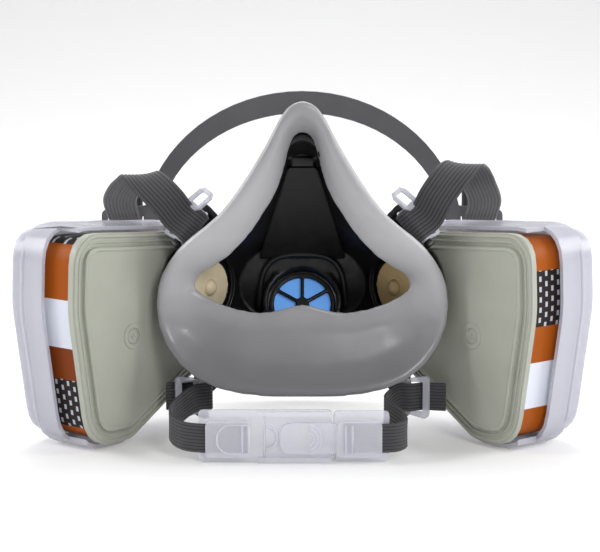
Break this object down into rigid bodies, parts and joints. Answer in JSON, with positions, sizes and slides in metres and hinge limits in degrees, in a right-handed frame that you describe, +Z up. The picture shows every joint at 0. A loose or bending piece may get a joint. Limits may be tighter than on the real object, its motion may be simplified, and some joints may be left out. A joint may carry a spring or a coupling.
{
  "type": "half-face respirator mask",
  "caption": "Half-face respirator mask with side cartridges, soft face seal, exhalation valve, elastic straps, neck clasp and head cradle.",
  "frame": {"origin": "bottom centre of the object's box, on the surface it stands on", "axes": "+Z up, +X across the mask, -Y towards the wearer's face, +Y out of the mask's front"},
  "size_m": [0.2404, 0.1228, 0.1446],
  "materials": {
    "seal": "matte",
    "shell": "satin",
    "case": "matte",
    "clear": "gloss",
    "label": "satin",
    "webbing": "matte",
    "cradle": "matte",
    "flap_blue": "satin",
    "flap_tan": "matte",
    "charcoal": "matte",
    "filter": "matte",
    "gasket": "matte"
  },
  "bodies": {
    "facepiece": {"face_seal": "seal", "inner_shell": "shell", "exhalation_seat": "shell", "harness_yoke": "shell", "neck_clip": "clear", "left_port": "shell", "left_port_gasket": "gasket", "left_upper_strap": "webbing", "left_lower_strap": "webbing", "right_port": "shell", "right_port_gasket": "gasket", "right_upper_strap": "webbing", "right_lower_strap": "webbing"},
    "left_cartridge": {"left_cartridge_case": "case", "left_cartridge_socket": "case", "left_charcoal_bed": "charcoal", "left_outer_screen": "case", "left_label": "label", "left_particulate_filter": "filter"},
    "left_retainer": {"left_retainer": "clear"},
    "left_inhalation_flap": {"left_inhalation_flap": "flap_tan"},
    "left_upper_buckle": {"left_upper_buckle": "clear"},
    "left_lower_buckle": {"left_lower_buckle": "clear"},
    "right_cartridge": {"right_cartridge_case": "case", "right_cartridge_socket": "case", "right_charcoal_bed": "charcoal", "right_outer_screen": "case", "right_label": "label", "right_particulate_filter": "filter"},
    "right_retainer": {"right_retainer": "clear"},
    "right_inhalation_flap": {"right_inhalation_flap": "flap_tan"},
    "right_upper_buckle": {"right_upper_buckle": "clear"},
    "right_lower_buckle": {"right_lower_buckle": "clear"},
    "exhalation_flap": {"exhalation_flap": "flap_blue"},
    "exhalation_cover": {"exhalation_cover": "shell"},
    "head_cradle": {"head_cradle": "cradle"},
    "neck_hook": {"neck_hook": "clear"}
  },
  "joints": [
    {"name": "left_cartridge_twist", "type": "hinge", "parent": "facepiece", "child": "left_cartridge", "pos_m": [-0.0497, 0.0006, 0.0634], "axis": [0.788, -0.6157, 0], "range_deg": [0, 55]},
    {"name": "left_retainer_pull", "type": "slide", "parent": "left_cartridge", "child": "left_retainer", "axis": [-0.788, 0.6157, 0], "range_m": [0, 0.015]},
    {"name": "left_inhalation_lift", "type": "slide", "parent": "facepiece", "child": "left_inhalation_flap", "axis": [0.788, -0.6157, 0], "range_m": [0, 0.0012], "stiffness_N_per_m": 40},
    {"name": "left_upper_buckle_tilt", "type": "hinge", "parent": "facepiece", "child": "left_upper_buckle", "pos_m": [-0.0468, -0.0184, 0.0915], "axis": [-0.6299, -0.22, -0.7449], "range_deg": [-8, 8]},
    {"name": "left_lower_buckle_tilt", "type": "hinge", "parent": "facepiece", "child": "left_lower_buckle", "pos_m": [-0.042, -0.0214, 0.0195], "axis": [0, 0, 1], "range_deg": [-9, 12], "deforming": ["left_lower_strap"]},
    {"name": "right_cartridge_twist", "type": "hinge", "parent": "facepiece", "child": "right_cartridge", "pos_m": [0.0497, 0.0006, 0.0634], "axis": [0.788, 0.6157, 0], "range_deg": [0, 55]},
    {"name": "right_retainer_pull", "type": "slide", "parent": "right_cartridge", "child": "right_retainer", "axis": [0.788, 0.6157, 0], "range_m": [0, 0.015]},
    {"name": "right_inhalation_lift", "type": "slide", "parent": "facepiece", "child": "right_inhalation_flap", "axis": [-0.788, -0.6157, 0], "range_m": [0, 0.0012], "stiffness_N_per_m": 40},
    {"name": "right_upper_buckle_tilt", "type": "hinge", "parent": "facepiece", "child": "right_upper_buckle", "pos_m": [0.0468, -0.0184, 0.0915], "axis": [0.6299, -0.22, -0.7449], "range_deg": [-8, 8]},
    {"name": "right_lower_buckle_tilt", "type": "hinge", "parent": "facepiece", "child": "right_lower_buckle", "pos_m": [0.042, -0.0214, 0.0195], "axis": [0, 0, 1], "range_deg": [-12, 1]},
    {"name": "exhalation_lift", "type": "slide", "parent": "facepiece", "child": "exhalation_flap", "axis": [0, 0.866, -0.5], "range_m": [0, 0.0014], "stiffness_N_per_m": 40},
    {"name": "exhalation_cover_pull", "type": "slide", "parent": "facepiece", "child": "exhalation_cover", "axis": [0, 0.866, -0.5], "range_m": [0, 0.01]},
    {"name": "cradle_swing", "type": "hinge", "parent": "facepiece", "child": "head_cradle", "pos_m": [0, 0.0558, 0.0845], "axis": [1, 0, 0], "range_deg": [-3, 30], "deforming": ["left_upper_strap", "right_upper_strap"]},
    {"name": "neck_unhook", "type": "slide", "parent": "facepiece", "child": "neck_hook", "axis": [0, -1, 0], "range_m": [0, 0.006], "deforming": ["right_lower_strap"]}
  ]
}
